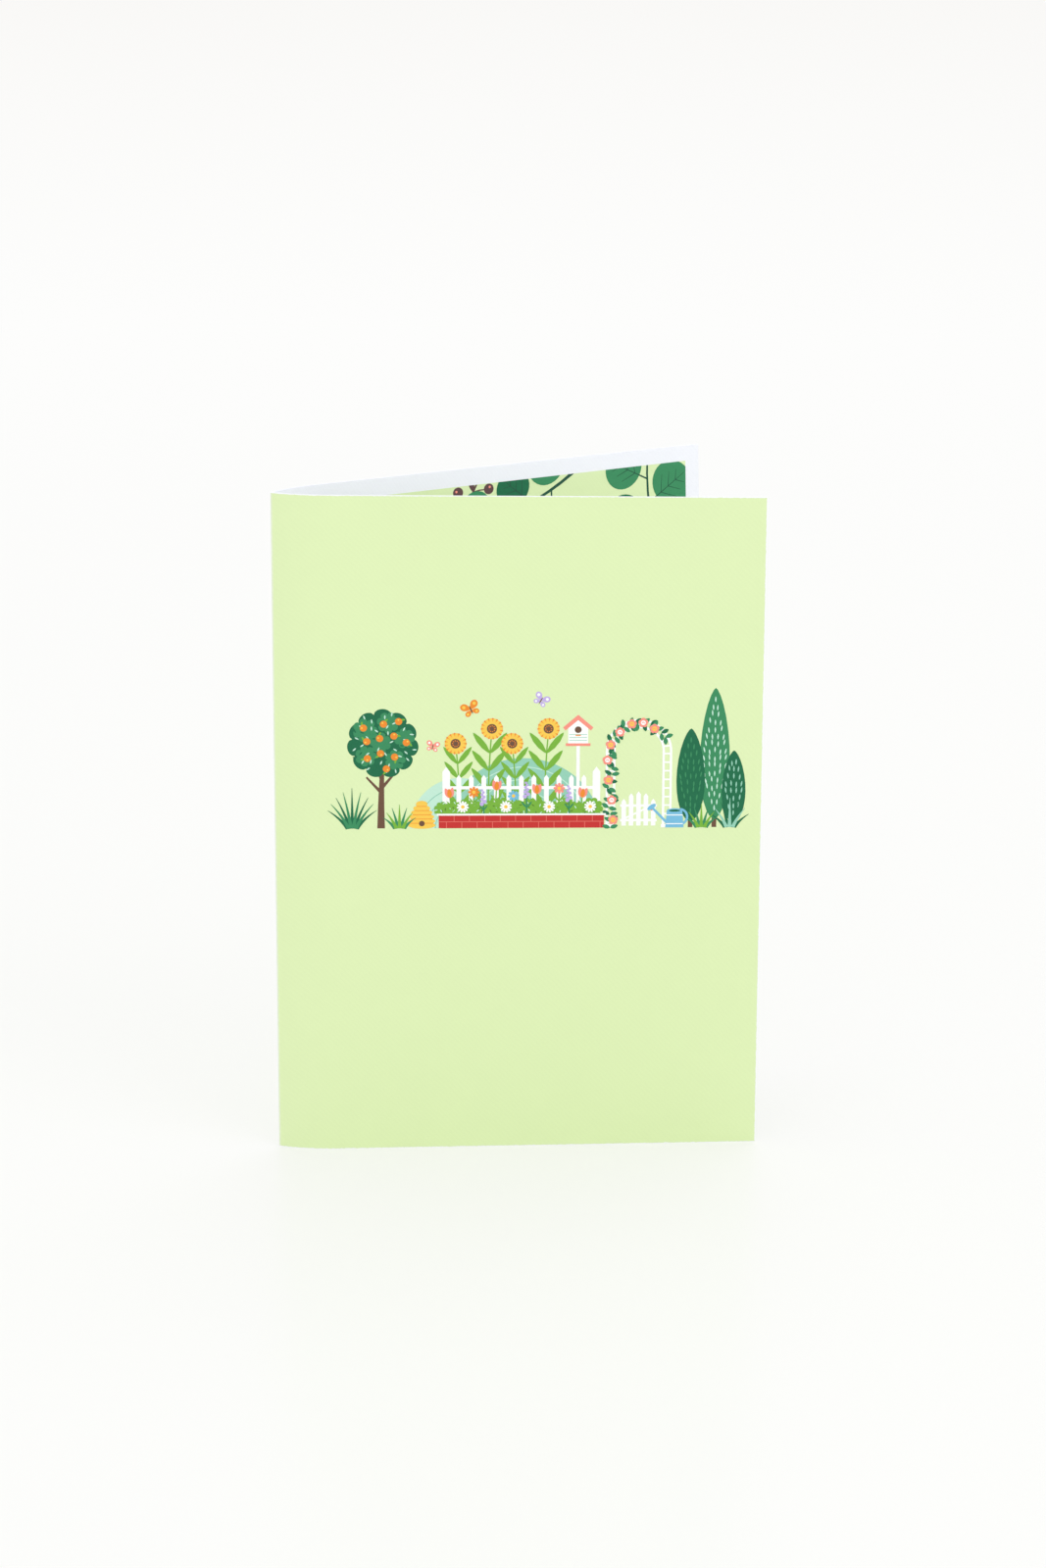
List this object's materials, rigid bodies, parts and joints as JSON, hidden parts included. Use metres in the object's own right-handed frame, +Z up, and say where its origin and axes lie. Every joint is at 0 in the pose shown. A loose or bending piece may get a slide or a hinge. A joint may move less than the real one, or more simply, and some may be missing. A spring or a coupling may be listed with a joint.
{
  "type": "greeting card",
  "caption": "Portrait greeting card, a folded sheet of printed board that stands ajar on its bottom edges, with a pale green cover and a white-bordered inside page.",
  "frame": {"origin": "foot of the fold, at mid-thickness of the crease, on the surface that the card stands on", "axes": "+Z up the fold; +X along the cover, from the fold to its free edge; -Y out of the cover, towards a reader"},
  "size_m": [0.1268, 0.0661, 0.1778],
  "materials": {
    "card": "matte"
  },
  "bodies": {
    "root": {"card": "card"}
  },
  "joints": []
}
